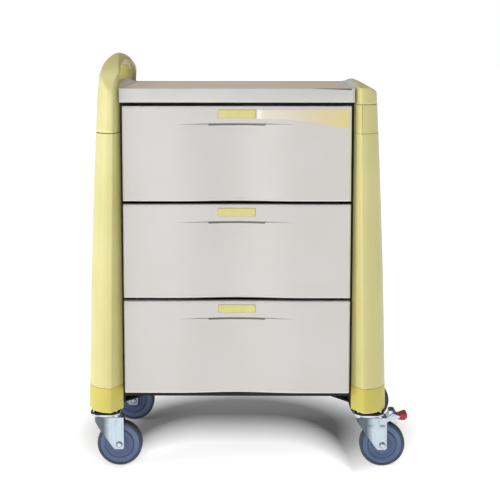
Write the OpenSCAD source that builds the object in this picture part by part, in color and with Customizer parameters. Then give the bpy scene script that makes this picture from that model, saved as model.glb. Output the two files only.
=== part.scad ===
// Instrument cart: a three-drawer steel cabinet between moulded corner columns,
// on four swivel casters, with a loop push handle on the left and a pull-out
// side shelf on the right. X runs across the front, -Y is the drawer side, Z is up.
// The origin is on the floor, midway between the four caster swivel axes.

/* [Casters] */
// Wheel diameter over the tyre
wheel_d = 125; // [100:1:150]
// Wheel width
wheel_w = 32; // [26:1:36]
// Height from the top of the wheel to the top of the mounting plate
caster_head_h = 27; // [25:1:40]
// Distance from the swivel axis back to the axle
caster_trail = 38; // [30:1:42]
// Left to right distance between swivel axes
track_x = 730; // [690:1:760]
// Front to back distance between swivel axes
track_y = 430; // [400:1:430]

/* [Cabinet] */
// Width of the drawer fronts
front_w = 612; // [520:1:612]
// Drawer front height plus the gap to the next one
drawer_pitch = 264; // [200:1:300]
// Gap between drawer fronts
drawer_gap = 6; // [4:0.5:10]
// Thickness of the moulded drawer fronts
front_t = 27; // [26:1:32]
// Depth of the steel cabinet, front flange face to back panel face
cabinet_d = 506; // [500:1:560]
// How far each drawer pulls out
drawer_travel = 460; // [300:5:470]
// Steel sheet thickness
sheet = 1.5; // [1:0.1:2]

/* [Columns] */
// Overall width across the bumpers at the bottom
foot_w = 820; // [816:1:860]
// Overall width across the end mouldings at worktop level
shoulder_w = 756; // [754:1:790]
// How far the column ridge stands in front of the cabinet flange
column_proud = 50; // [42:1:60]
// Wall thickness of the plastic mouldings
wall = 3.5; // [2.5:0.1:4]
// Height of the dark bumper at each foot
bumper_h = 68; // [50:1:90]
// Gap at the seams between mouldings
seam = 0.8; // [0.4:0.1:1.5]

/* [Top] */
// Worktop thickness
worktop_t = 38; // [30:1:50]
// Worktop depth, front edge to back edge
worktop_d = 568; // [560:1:600]
// Height of the handle crest above the worktop
handle_rise = 91; // [80:1:120]
// Length of the hand opening in the handle
grip_l = 360; // [280:1:380]
// How far the side shelf pulls out
shelf_travel = 240; // [120:5:260]

/* [Hidden] */
$fn = 64;

// Colours
yellow = [0.90, 0.86, 0.56];
dark_yellow = [0.84, 0.79, 0.33];
pale_grey = [0.80, 0.79, 0.77];
taupe = [0.73, 0.67, 0.62];
black = [0.07, 0.07, 0.08];
zinc = [0.78, 0.80, 0.82];
slate_blue = [0.36, 0.41, 0.58];
tyre_grey = [0.27, 0.30, 0.34];
red = [0.68, 0.18, 0.24];

// Heights, from the floor up
plate_t = 3.5;
foot_plate_t = 6;
plate_z = wheel_d + caster_head_h;
foot_z = plate_z + foot_plate_t;
bumper_z = foot_z + 12;
column_z = bumper_z + bumper_h;
wall_z = plate_z + 38;
gusset_t = 3;
pan_z = wall_z + 24;
bay_z = pan_z + 6;
drawer_count = 3;
front_h = drawer_pitch - drawer_gap;
bay_top = bay_z + drawer_count * drawer_pitch - drawer_gap;
deck_t = 2;
deck_z = bay_top + 5;
top_z = deck_z + deck_t;
surface_z = top_z + worktop_t;
shelf_seam_low = bay_top - 74;
shelf_seam_high = bay_top + 3;
crest_z = surface_z + 15;
handle_z = surface_z + handle_rise;

// Across
bay_half = front_w / 2 + 2;
wall_out = bay_half + sheet;
flange_w = 14;
inner_top = bay_half + 13;
inner_foot = bay_half + 9;
ridge_top = bay_half + 19;
ridge_foot = bay_half + 34;
column_bow = 4;
end_x = ridge_top + 1;
worktop_half = end_x - 1;

// Front to back
face_y = cabinet_d / 2;
ridge_y = face_y + column_proud;
corner_depth = 86;
column_back = 157;
front_y = face_y + 0.5;

// Posts that carry the cabinet
post = 40;
post_wall = 2.5;
post_x = (track_x - 30) / 2;
post_y = track_y / 2;

// Caster details
fork_gap = wheel_w / 2 + 4;
fork_t = 3;
fork_w = fork_gap + fork_t;
plate_x = 80;
plate_y = 92;
plate_corner = 18;
bolt_pitch = 60;
bolt_d = 8;
kingpin_d = 12;
axle_d = 8;
sleeve_d = 12;
running = 0.08;
axle_z = wheel_d / 2;
race_r = 31;
crown_z = plate_z - 17;
crown_t = 3.5;

eps = 0.5;
corners = [[-1, -1], [1, -1], [-1, 1], [1, 1]];

function mix(a, b, t) = a + (b - a) * t;
function height_share(z) = (z - bumper_z) / (top_z - bumper_z);
function outer_x(z) =
    mix(foot_w, shoulder_w, height_share(z)) / 2 + column_bow * 4 * height_share(z) * (1 - height_share(z));
function ridge_x(z) = mix(ridge_foot, ridge_top, height_share(z));
function inner_x(z) = mix(inner_foot, inner_top, height_share(z));

// Front corner of a moulding in plan, from its inner edge round to its side.
// inset moves every face inwards by that wall thickness.
function corner_points(z, inset) =
    let (
        xi = inner_x(z), xr = ridge_x(z), xo = outer_x(z) - inset,
        run = norm([xr - xi, column_proud]),
        lift = inset * run / column_proud,
        slope = (xr - xi) / column_proud,
        start = xr + lift - inset * slope + (inset > 0 ? 1 : 2.5),
        reach = corner_depth - inset
    )
    concat(
        inset > 0
            ? [[xi + lift, -face_y], [xr + lift - inset * slope, -ridge_y + inset]]
            : [[xi, -face_y], [xr - 1.5, -ridge_y + 3.4], [xr - 0.2, -ridge_y + 0.9]],
        [for (a = [90:-9:0]) [start + (xo - start) * cos(a), -ridge_y + inset + reach * (1 - sin(a))]]
    );

// Plan of a front corner column at height z
function column_ring(z, inset) =
    let (pts = corner_points(z, inset), xo = outer_x(z) - inset, back = -column_back - inset, r = 5 - inset / 2)
    [for (p = concat(
        pts,
        [[xo, back - r], [xo - r * 0.3, back - r * 0.3], [xo - r, back], [pts[0].x, back]]
    )) [p.x, p.y, z]];

// Plan of a full-depth end moulding at height z
function end_ring(z, inset) =
    let (pts = corner_points(z, inset), last = len(pts) - 1)
    [for (p = concat(pts, [for (i = [last:-1:0]) [pts[i].x, -pts[i].y]])) [p.x, p.y, z]];

// Solid through a stack of rings that all have the same number of points
module skin(rings) {
    n = len(rings[0]);
    m = len(rings);
    polyhedron(
        points = [for (ring = rings) for (p = ring) p],
        faces = concat(
            [[for (i = [0:n - 1]) i]],
            [for (k = [0:m - 2]) for (i = [0:n - 1]) [k * n + i, (k + 1) * n + i, (k + 1) * n + (i + 1) % n]],
            [for (k = [0:m - 2]) for (i = [0:n - 1]) [k * n + i, (k + 1) * n + (i + 1) % n, k * n + (i + 1) % n]],
            [[for (i = [n - 1:-1:0]) (m - 1) * n + i]]
        ),
        convexity = 6
    );
}

module box(x0, x1, y0, y1, z0, z1) {
    translate([x0, y0, z0]) cube([x1 - x0, y1 - y0, z1 - z0]);
}

// Cylinder along Y
module rod_y(x, z, y0, y1, r, sides = 48) {
    translate([x, y1, z]) rotate([90, 0, 0]) cylinder(h = y1 - y0, r = r, $fn = sides);
}

// Places a front-right piece at each corner named in list
module at_corners(list) {
    for (c = list) scale_mirror(c[0], -c[1]) children();
}

module scale_mirror(sx, sy) {
    if (sx < 0 && sy < 0) mirror([1, 0, 0]) mirror([0, 1, 0]) children();
    else if (sx < 0) mirror([1, 0, 0]) children();
    else if (sy < 0) mirror([0, 1, 0]) children();
    else children();
}

// ---------------------------------------------------------------- steel body

module base_pan() {
    hem = 8;
    color(black) {
        box(-bay_half, bay_half, -face_y, face_y, pan_z, pan_z + sheet);
        box(-bay_half, bay_half, -face_y, -face_y + sheet, pan_z - hem, pan_z + sheet);
        box(-bay_half, bay_half, face_y - sheet, face_y, pan_z - hem, pan_z + sheet);
    }
}

// A side wall with outward flanges front and back
module side_wall(notch) {
    notch_z = bay_top - 16;
    difference() {
        union() {
            box(bay_half, wall_out, -face_y, face_y, wall_z, deck_z);
            for (s = [-1, 1])
                box(bay_half, wall_out + flange_w, s > 0 ? face_y - sheet : -face_y,
                    s > 0 ? face_y : -face_y + sheet, wall_z, deck_z);
        }
        if (notch) box(bay_half - eps, wall_out + eps, -post_y + 15, post_y - 15, notch_z, deck_z + eps);
    }
}

module wall_left() {
    color(black) mirror([1, 0, 0]) side_wall(false);
}

module wall_right() {
    color(black) side_wall(true);
}

module back_panel() {
    edge = inner_foot - 2;
    color(pale_grey) box(-edge, edge, face_y, face_y + sheet, wall_z, deck_z);
}

module top_deck() {
    color(black) {
        box(-wall_out - flange_w / 2, wall_out + flange_w / 2, -face_y, face_y, deck_z, top_z);
        box(-bay_half, bay_half, -face_y, -face_y + sheet, bay_top + 1, deck_z);
        // Tabs over the posts that carry the end mouldings
        for (s = [-1, 1]) scale_mirror(1, s)
            box(-post_x - post / 2, post_x + post / 2, post_y - post / 2, post_y + post / 2, deck_z, top_z);
    }
}

// Plate with clipped corners, centred on the swivel axis
module caster_pad(z0, t) {
    hx = plate_x / 2;
    hy = plate_y / 2;
    c = plate_corner;
    translate([0, 0, z0]) linear_extrude(t)
        polygon([
            [-hx + c, -hy], [hx - c, -hy], [hx, -hy + c], [hx, hy - c],
            [hx - c, hy], [-hx + c, hy], [-hx, hy - c], [-hx, -hy + c]
        ]);
}

module bolt_spots() {
    for (x = [-1, 1], y = [-1, 1]) translate([x * bolt_pitch / 2, y * bolt_pitch / 2, 0]) children();
}

// Square post welded to a foot plate and to a corner gusset, front right
module corner_frame() {
    px0 = post_x - post / 2;
    py0 = -post_y - post / 2;
    gusset_in = bay_half - 46;
    difference() {
        union() {
            difference() {
                box(px0, px0 + post, py0, py0 + post, foot_z - 0.5, deck_z);
                box(px0 + post_wall, px0 + post - post_wall, py0 + post_wall, py0 + post - post_wall,
                    foot_z + 0.5, deck_z + 1);
            }
            translate([track_x / 2, -post_y, 0]) caster_pad(plate_z, foot_plate_t);
            translate([0, 0, wall_z - gusset_t]) linear_extrude(gusset_t)
                polygon([
                    [px0 + 1, -face_y], [bay_half + 3, -face_y], [gusset_in, -face_y + 65],
                    [gusset_in, -face_y + 80], [px0 + 1, -face_y + 80]
                ]);
        }
        translate([track_x / 2, -post_y, plate_z - eps]) bolt_spots()
            cylinder(h = foot_plate_t + 2 * eps, r = bolt_d / 2 + 0.2);
    }
}

module corner_frames() {
    color(black) at_corners(corners) corner_frame();
}

module side_panels() {
    px = post_x + 2;
    color(pale_grey) for (s = [-1, 1])
        box(s > 0 ? px : -px - sheet, s > 0 ? px + sheet : -px, -post_y + post / 2, post_y - post / 2,
            wall_z, shelf_seam_low - 1);
}

// ------------------------------------------------------------- corner covers

// Hollow corner cover between two heights, open on the cabinet side
module corner_cover(z0, z1, steps) {
    heights = [for (i = [0:steps]) mix(z0, z1, i / steps)];
    inside = [for (i = [0:steps]) mix(z0 - 1, z1 + 1, i / steps)];
    difference() {
        skin([for (z = heights) column_ring(z, 0)]);
        skin([for (z = inside) column_ring(z, wall)]);
        box(bay_half - 20, post_x + 2 + sheet + 1, -face_y, -column_back + 5, z0 - 1, z1 + 1);
    }
}

module column() {
    corner_cover(column_z + seam / 2, shelf_seam_low - seam / 2, 5);
}

module column_front_right() { color(yellow) column(); }
module column_front_left() { color(yellow) mirror([1, 0, 0]) column(); }
module column_rear_right() { color(yellow) mirror([0, 1, 0]) column(); }
module column_rear_left() { color(yellow) mirror([1, 0, 0]) mirror([0, 1, 0]) column(); }

module bumpers() {
    color(dark_yellow) at_corners(corners) corner_cover(bumper_z, column_z - seam / 2, 1);
}

// Hollow end moulding between two heights, open on the cabinet side
module end_shell(z0, z1) {
    difference() {
        skin([for (z = [z0, z1]) end_ring(z, 0)]);
        skin([for (z = [z0 - 1, z1 + 1]) end_ring(z, wall)]);
        box(bay_half - 20, inner_top + 6, -face_y, face_y, z0 - 1, z1 + 1);
    }
}

// ------------------------------------------------------- handle and end cap

// Ribs that stand on the deck's tabs and hold up the top of an end moulding
module end_ribs(xi, xo) {
    for (s = [-1, 1]) scale_mirror(1, s)
        box(xi + 1, xo - 1.5, post_y - 4, post_y + 4, top_z, surface_z - 15);
}

// Half of an ellipse in the YZ plane, base at z0
function arch(half, z0, rise, steps) =
    [for (i = [0:steps]) let (a = 180 * i / steps) [half * cos(a), z0 + rise * sin(a)]];

// Extrudes a YZ outline from x0 to x1
module prism_x(x0, x1, outline) {
    translate([x0, 0, 0]) rotate([90, 0, 90]) linear_extrude(x1 - x0) polygon(outline);
}

// Extrudes an XZ outline from y0 to y1
module prism_y(y0, y1, outline) {
    translate([0, y1, 0]) rotate([90, 0, 0]) linear_extrude(y1 - y0) polygon(outline);
}

module handle() {
    low = shelf_seam_low + seam / 2;
    base = surface_z - 16;
    rise = handle_z - base;
    xi = end_x;
    xo = outer_x(base);
    grip_z = crest_z + 3;
    grip_top = handle_z - 35;
    color(yellow) mirror([1, 0, 0]) {
        end_shell(low, top_z);
        end_ribs(xi, xo);
        difference() {
            union() {
                difference() {
                    skin([for (z = [top_z, base]) end_ring(z, 0)]);
                    skin([for (z = [top_z - 1, base + 1]) end_ring(z, wall)]);
                    box(0, xi, -ridge_y - 1, ridge_y + 1, top_z - 1, base + 1);
                }
                box(xi, xi + wall, -face_y, face_y, top_z, base);
                intersection() {
                    prism_x(xi, xo + 1, arch(ridge_y, base, rise, 40));
                    prism_y(-ridge_y, ridge_y, [
                        [xi, base], [xo, base], [xo - 6, surface_z], [xo - 12, surface_z + 40],
                        [xo - 15, surface_z + 65], [xo - 23, handle_z - 9], [xo - 32, handle_z],
                        [xi + 14, handle_z - 5], [xi + 6, handle_z - 20], [xi + 2, surface_z + 40]
                    ]);
                    skin([for (z = [base, handle_z + 1]) end_ring(z, 0)]);
                }
            }
            prism_x(xi - 5, xo + 5, concat(
                [[-grip_l / 2, grip_z], [grip_l / 2, grip_z]],
                [for (i = [1:15]) let (a = 180 * i / 16)
                    [grip_l / 2 * cos(a), grip_z + (grip_top - grip_z) * pow(sin(a), 0.45)]]
            ));
        }
    }
}

// Top of the right end: a low crowned cap that falls away to the side
module end_cap() {
    low = shelf_seam_high + seam / 2;
    xi = end_x;
    xo = outer_x(low);
    crown_r = (pow(worktop_d / 2, 2) + pow(crest_z - surface_z, 2)) / (2 * (crest_z - surface_z));
    color(yellow) end_ribs(xi, xo - 1);
    color(yellow) intersection() {
        difference() {
            skin([for (z = [low, crest_z + 4]) end_ring(z, 0)]);
            skin([for (z = [low - 1, surface_z - 16]) end_ring(z, wall)]);
            box(0, xi, -ridge_y - 1, ridge_y + 1, low - 1, crest_z + 5);
            box(0, xi + wall, -face_y - 0.2, face_y + 0.2, low - 1, top_z);
        }
        prism_y(-ridge_y - 1, ridge_y + 1, [
            [xi, low], [xo + 1, low], [xo - 1, surface_z - 17], [xo - 4, surface_z - 11],
            [xo - 12, surface_z - 4], [xo - 28, surface_z + 5], [xi + 14, surface_z + 12],
            [xi + 4, crest_z], [xi, crest_z]
        ]);
        translate([xi - 5, 0, crest_z - crown_r]) rotate([0, 90, 0])
            cylinder(h = xo - xi + 12, r = crown_r, $fn = 256);
    }
}

split_x = ridge_top + 5;

// Fixed strips of the right end on either side of the shelf's end
module shelf_trim() {
    z0 = shelf_seam_low + seam / 2;
    z1 = shelf_seam_high - seam / 2;
    color(yellow) intersection() {
        end_shell(z0, z1);
        box(bay_half, split_x - seam / 2, -ridge_y - 1, ridge_y + 1, z0 - 1, z1 + 1);
    }
}

// ----------------------------------------------------------------- side shelf

board_t = 12;
board_half = post_y - post / 2 - 7;
board_z = deck_z - 4 - board_t;
board_end = post_x + post / 2 + 2;
board_start = board_end - shelf_travel - 122;

module shelf_end() {
    z0 = shelf_seam_low + seam / 2;
    z1 = shelf_seam_high - seam / 2;
    color(yellow) {
        intersection() {
            end_shell(z0, z1);
            box(split_x + seam / 2, foot_w, -ridge_y - 1, ridge_y + 1, z0 - 1, z1 + 1);
        }
        intersection() {
            skin([for (z = [board_z - 4, board_z + board_t]) end_ring(z, wall - 0.2)]);
            box(board_end, foot_w, -board_half, board_half, board_z - 4, board_z + board_t);
        }
    }
}

module shelf_board() {
    color(pale_grey) box(board_start, board_end, -board_half, board_half, board_z, board_z + board_t);
}

module shelf_runners() {
    gap = 0.5;
    lip = 2;
    hold = 10;
    end = wall_out + 8;
    color(zinc) for (s = [-1, 1]) scale_mirror(1, s) difference() {
        box(board_start - 4, end, board_half - hold, board_half + 3, board_z - gap - lip, deck_z);
        box(board_start - 5, end + 1, board_half - hold - 1, board_half + gap, board_z - gap, board_z + board_t + gap);
    }
}

// --------------------------------------------------------------------- worktop

surface_half_x = worktop_half - 22;
surface_half_y = worktop_d / 2 - 5;
surface_t = 2;

module worktop() {
    skin_t = 4;
    rise = crest_z - surface_z - 2;
    crown_r = (pow(worktop_d / 2, 2) + pow(rise, 2)) / (2 * rise);
    h = worktop_d / 2;
    notch_l = 110;
    color(pale_grey) difference() {
        union() {
            box(-worktop_half, worktop_half, -h, h, top_z, surface_z);
            for (s = [-1, 1]) scale_mirror(s, 1) intersection() {
                prism_y(-h, h, [
                    [worktop_half - 20, surface_z - 1], [worktop_half, surface_z - 1],
                    [worktop_half, surface_z + rise], [worktop_half - 2, surface_z + rise],
                    [worktop_half - 5, surface_z + rise * 0.62], [worktop_half - 10, surface_z + rise * 0.28],
                    [worktop_half - 15, surface_z + rise * 0.09], [worktop_half - 20, surface_z]
                ]);
                translate([worktop_half - 30, 0, surface_z + rise - crown_r]) rotate([0, 90, 0])
                    cylinder(h = 40, r = crown_r, $fn = 256);
            }
        }
        box(-worktop_half + skin_t, worktop_half - skin_t, -h + skin_t, h - skin_t, top_z - 1, surface_z - skin_t - 2);
        box(-surface_half_x - 0.3, surface_half_x + 0.3, -surface_half_y - 0.3, surface_half_y + 0.3,
            surface_z - surface_t, surface_z + 1);
        // Tapered finger recess in the front right edge, for lifting the surface sheet
        prism_y(-h - 1, -surface_half_y + 1, [
            [surface_half_x - notch_l, surface_z], [surface_half_x, surface_z - 3.6],
            [surface_half_x, surface_z + 1], [surface_half_x - notch_l, surface_z + 1]
        ]);
    }
}

module work_surface() {
    color(taupe) box(-surface_half_x, surface_half_x, -surface_half_y, surface_half_y,
        surface_z - surface_t, surface_z);
}

// --------------------------------------------------------------------- drawers

function drawer_z(n) = bay_z + (drawer_count - n) * drawer_pitch;

lip_drop = 51;
scoop_half = 190;
scoop_deep = 12;
scoop_top = 5;
lip_sag = 6;
label_drop = 12;
pull_half = 80;
pull_skin = 5;
pull_below = 7;
pull_above = 16;
butt = 0.01;
label_w = 100;
label_h = 23;
label_t = 1.8;

// Upright cylinder that leaves a hollow of depth d and half width w in the face
module scoop(w, d, z0, z1) {
    r = (w * w + d * d) / (2 * d);
    translate([0, -front_y - front_t + d - r, z0]) cylinder(h = z1 - z0, r = r, $fn = 256);
}

// Moulded front with a shallow hollow and an overhanging finger pull
module front_moulding(n) {
    z0 = drawer_z(n);
    z1 = z0 + front_h;
    lip_z = z1 - lip_drop;
    face = -front_y - front_t;
    difference() {
        box(-front_w / 2, front_w / 2, face, -front_y, z0, z1);
        scoop(scoop_half, scoop_top, lip_z - 2 * lip_sag, z1 + 5);
        scoop(scoop_half, scoop_deep, z0 - 5, lip_z - lip_sag);
        // The lip over the pull is a shallow arch
        intersection() {
            scoop(scoop_half, scoop_deep, lip_z - lip_sag - 1, lip_z);
            prism_y(face - 1, -front_y, [for (x = [-scoop_half:scoop_half / 10:scoop_half])
                [x, lip_z - lip_sag * pow(x / scoop_half, 2)],
                [scoop_half, lip_z - lip_sag - 1], [-scoop_half, lip_z - lip_sag - 1]]);
        }
        box(-pull_half, pull_half, face + scoop_top + pull_skin, face + front_t - 3,
            lip_z - pull_below, lip_z + pull_above);
        box(-label_w / 2 - 0.2, label_w / 2 + 0.2, face - 1, face + scoop_top + 1,
            z1 - label_drop - label_h - 0.2, z1 - label_drop + 0.2);
    }
}

// The moulding is six blocks butted round the finger pull, so each is close to convex
module drawer_front(n) {
    z0 = drawer_z(n) - 1;
    z1 = z0 + front_h + 2;
    low = z1 - 1 - lip_drop - pull_below;
    high = low + pull_below + pull_above;
    y0 = -front_y - front_t - 1;
    y1 = -front_y + 1;
    w = front_w / 2 + 1;
    g = butt / 2;
    color(pale_grey) for (b = [
        [-w, w, y0, y1, z0, low - g],
        [-w, w, y0, y1, high + g, z1],
        [-w, -pull_half - g, y0, y1, low + g, high - g],
        [pull_half + g, w, y0, y1, low + g, high - g],
        [-pull_half + g, pull_half - g, y1 - 5, y1, low + g, high - g],
        [-pull_half + g, pull_half - g, y0, y1 - 10, low + g, high - g]
    ]) intersection() {
        front_moulding(n);
        box(b[0], b[1], b[2], b[3], b[4], b[5]);
    }
}

module label(n) {
    z1 = drawer_z(n) + front_h;
    back = -front_y - front_t + scoop_top + 1;
    color(yellow) box(-label_w / 2, label_w / 2, back - label_t, back, z1 - label_drop - label_h, z1 - label_drop);
}

box_half = bay_half - 13;
box_h = front_h - 50;
box_lift = 10;
box_back = face_y - 18;

// Open steel tray behind each front
module drawer_box(n) {
    z0 = drawer_z(n) + box_lift;
    color(pale_grey) difference() {
        box(-box_half, box_half, -front_y, box_back, z0, z0 + box_h);
        box(-box_half + sheet, box_half - sheet, -front_y + sheet, box_back - sheet, z0 + sheet, z0 + box_h + 1);
    }
}

runner_z = 95;
runner_t = 1.2;

// One C-section member, web at x, lips reaching in towards the drawer
module channel(web_x, lip_x, half_h, y0, y1, z) {
    difference() {
        box(lip_x, web_x + runner_t, y0, y1, z - half_h, z + half_h);
        box(lip_x - 1, web_x, y0 - 1, y1 + 1, z - half_h + runner_t, z + half_h - runner_t);
    }
}

module pair() {
    children();
    mirror([1, 0, 0]) children();
}

module runner_outers() {
    color(zinc) for (n = [1:drawer_count]) pair()
        channel(bay_half - runner_t, bay_half - 9.5, 22.5, -face_y + 4, box_back, drawer_z(n) + runner_z);
}

module runner_middle(n) {
    color(zinc) pair()
        channel(bay_half - 5.1, bay_half - 10.5, 19.9, -face_y + 5, box_back, drawer_z(n) + runner_z);
}

// The drawer member opens outwards, so it is the same section turned round
module runner_inner(n) {
    z = drawer_z(n) + runner_z;
    color(zinc) pair() difference() {
        box(box_half, box_half + 6.5, -face_y + 6, box_back, z - 16.9, z + 16.9);
        box(box_half + runner_t, box_half + 7, -face_y + 5, box_back + 1, z - 15.7, z + 15.7);
    }
}

// --------------------------------------------------------------------- casters

module caster_plate() {
    difference() {
        union() {
            caster_pad(plate_z - plate_t, plate_t);
            translate([0, 0, plate_z - 11]) cylinder(h = 11 - plate_t + 0.5, r = race_r - 2);
            translate([0, 0, crown_z - 6]) cylinder(h = plate_z - crown_z + 4, d = kingpin_d);
            translate([0, 0, crown_z - 6]) cylinder(h = 5.5, r = 10);
        }
        translate([0, 0, plate_z - plate_t - eps]) bolt_spots()
            cylinder(h = plate_t + 2 * eps, r = bolt_d / 2 + 0.2);
    }
}

module caster_plates() {
    color(zinc) for (c = corners) translate([c[0] * track_x / 2, c[1] * track_y / 2, 0]) caster_plate();
}

module caster_bolt() {
    translate([0, 0, plate_z - plate_t - 5]) cylinder(h = 5, r = 6.8, $fn = 6);
    translate([0, 0, plate_z - plate_t - 5]) cylinder(h = plate_t + foot_plate_t + 5 + 5, d = bolt_d);
}

// The inner bolts come up beside the post and the outer ones inside the cover
module caster_bolts() {
    color(zinc) for (c = corners) translate([c[0] * track_x / 2, c[1] * track_y / 2, 0])
        bolt_spots() caster_bolt();
}

// Pressed fork: a U in plan, cut to its side outline, with a crown and race on top
module fork_body(brake) {
    a = caster_trail;
    nose = a - 71;
    tail = a + 12;
    ear_x = a + 29;
    ear_z = plate_z - 9;
    difference() {
        union() {
            intersection() {
                linear_extrude(crown_z + crown_t) difference() {
                    union() {
                        translate([nose + fork_w, 0]) circle(r = fork_w);
                        translate([nose + fork_w, -fork_w]) square([tail - nose, 2 * fork_w]);
                    }
                    union() {
                        translate([nose + fork_w, 0]) circle(r = fork_gap);
                        translate([nose + fork_w, -fork_gap]) square([tail - nose + 1, 2 * fork_gap]);
                    }
                }
                prism_y(-fork_w, fork_w, [
                    [a - 18, axle_z - 9], [a - 13, axle_z - 14], [a + 8, axle_z - 14], [tail, axle_z - 10],
                    [tail, crown_z + crown_t], [nose, crown_z + crown_t], [nose, crown_z - 8]
                ]);
            }
            translate([0, 0, crown_z]) linear_extrude(crown_t) intersection() {
                union() {
                    translate([nose + fork_w, 0]) circle(r = fork_w);
                    translate([nose + fork_w, -fork_w]) square([tail - nose - fork_w, 2 * fork_w]);
                }
                translate([nose, -fork_w]) square([tail - nose, 2 * fork_w]);
            }
            translate([0, 0, crown_z]) cylinder(h = 5.5, r = race_r);
            for (s = [-1, 1]) translate([a - 10, s * fork_w, axle_z + 2])
                cylinder(h = crown_z - axle_z - 6, r = 2.2);
            if (brake) for (s = [-1, 1]) {
                rod_y(ear_x, ear_z, s > 0 ? fork_gap : -fork_w, s > 0 ? fork_w : -fork_gap, 8);
                prism_y(s > 0 ? fork_gap : -fork_w, s > 0 ? fork_w : -fork_gap, [
                    [tail - 12, crown_z - 14], [ear_x - 2, ear_z - 7.9], [ear_x - 1, ear_z + 7.9],
                    [tail - 2, crown_z + crown_t], [tail - 12, crown_z + crown_t]
                ]);
            }
        }
        translate([0, 0, crown_z - 1]) cylinder(h = 8, d = kingpin_d + 2 * running);
        rod_y(a, axle_z, -fork_w - 1, fork_w + 1, axle_d / 2 + running);
        if (brake) rod_y(ear_x, ear_z, -fork_w - 1, fork_w + 1, 3 + running);
        translate([a, 0, axle_z]) rotate([90, 0, 0])
            cylinder(h = 2 * fork_gap - 0.01, r = wheel_d / 2 + 2, center = true);
    }
}

// Bolt, spacer sleeve and nut
module axle_set() {
    a = caster_trail;
    rod_y(a, axle_z, -fork_w - 1, fork_w + 8, axle_d / 2);
    rod_y(a, axle_z, -fork_gap, fork_gap, sleeve_d / 2);
    rod_y(a, axle_z, -fork_w - 5.5, -fork_w, 7.4, 6);
    rod_y(a, axle_z, fork_w, fork_w + 6.5, 7.4, 6);
}

rim_r = wheel_d / 2 - 8.5;
guard_r = rim_r - 15.5;
hub_r = 15;

// Wheel parts turn about Y, centred on the axle
module wheel_place() {
    translate([caster_trail, 0, axle_z]) rotate([90, 0, 0]) children();
}

// Cover discs: each sits on the hub's face and on a step inside the rim
module thread_guards() {
    h = wheel_w / 2;
    wheel_place() for (s = [-1, 1]) scale_z(s) rotate_extrude($fn = 96)
        polygon([
            [sleeve_d / 2 + 1, h - 1], [hub_r, h - 1], [guard_r - 3, h - 3], [guard_r, h - 3],
            [guard_r, h - 0.4], [guard_r - 2, h + 1], [sleeve_d / 2 + 1, h + 2.5]
        ]);
}

module scale_z(s) {
    if (s < 0) mirror([0, 0, 1]) children();
    else children();
}

// Moulded wheel centre with its bearing bore
module wheel_core() {
    h = wheel_w / 2;
    half = [
        [sleeve_d / 2 + running, h - 1], [hub_r, h - 1], [hub_r + 2, 7], [guard_r - 5, 7], [guard_r - 4, h - 3],
        [guard_r + 0.5, h - 3], [guard_r + 2, h - 1], [rim_r - 1, h - 0.6], [rim_r, h - 2]
    ];
    last = len(half) - 1;
    wheel_place() rotate_extrude($fn = 96)
        polygon(concat(half, [for (i = [last:-1:0]) [half[i].x, -half[i].y]]));
}

module tyre() {
    r = wheel_d / 2;
    h = wheel_w / 2;
    shoulder = 5;
    wheel_place() rotate_extrude($fn = 96) {
        translate([rim_r, -h + shoulder]) square([r - rim_r, 2 * h - 2 * shoulder]);
        translate([rim_r, -h]) square([r - rim_r - shoulder, 2 * h]);
        for (s = [-1, 1]) intersection() {
            translate([r - shoulder, s * (h - shoulder)]) circle(r = shoulder, $fn = 48);
            translate([rim_r, -h]) square([r, 2 * h]);
        }
    }
}

lever_half = fork_gap - 1.5;

// Rocker that presses a lobe on the tyre when the pad is pushed down
module brake_lever_body() {
    px = caster_trail + 29;
    pz = plate_z - 9;
    lobe = 3.5;
    rod_y(px, pz, -lever_half, lever_half, 8);
    rod_y(px, pz, -fork_w - 2.5, fork_w + 2.5, 3);
    rod_y(px - 7, pz + 10, -lever_half, lever_half, 6);
    prism_y(-lever_half, lever_half, [[px - 7.8, pz + 1], [px + 7.8, pz + 1], [px - 2, pz + 13], [px - 12, pz + 7]]);
    rod_y(px + 8, pz - 20, -lever_half, lever_half, lobe);
    prism_y(-lever_half, lever_half, [
        [px - 3, pz - 7], [px + 4.6, pz - 20.8], [px + 11.4, pz - 19], [px + 7.9, pz - 1], [px, pz]
    ]);
    prism_y(-lever_half, lever_half, [
        [px + 4, pz - 6], [px + 18, pz - 5], [px + 19, pz], [px + 5, pz + 6]
    ]);
}

module brake_lever() {
    color(zinc) translate([track_x / 2, -track_y / 2, 0]) brake_lever_body();
}

module brake_pad() {
    px = caster_trail + 29;
    pz = plate_z - 9;
    tilt = 22;
    color(red) translate([track_x / 2, -track_y / 2, 0]) difference() {
        translate([px + 10, 0, pz - 5]) rotate([0, -tilt, 0]) union() {
            box(0, 24, -lever_half, lever_half, -7, 8);
            rod_y(24, 0.5, -lever_half, lever_half, 7.5);
        }
        // Socket for the lever's tongue, bottoming on the tongue's end
        prism_y(-fork_w, fork_w, [
            [px - 3, pz - 8], [px + 4.6, pz - 22], [px + 11.9, pz - 20], [px + 9.5, pz - 5.6],
            [px + 18, pz - 5], [px + 19, pz], [px + 5, pz + 6.2], [px - 3, pz + 6.4]
        ]);
    }
}

function corner_x(right) = (right ? 1 : -1) * track_x / 2;
function corner_y(front) = (front ? -1 : 1) * track_y / 2;

module at_caster(front, right) {
    translate([corner_x(right), corner_y(front), 0]) children();
}

module fork(front, right) { color(zinc) at_caster(front, right) fork_body(front && right); }
module axle(front, right) { color(zinc) at_caster(front, right) axle_set(); }
module guards(front, right) { color(slate_blue) at_caster(front, right) thread_guards(); }
module core(front, right) { color(slate_blue) at_caster(front, right) wheel_core(); }
module wheel_tyre(front, right) { color(tyre_grey) at_caster(front, right) tyre(); }

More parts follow.
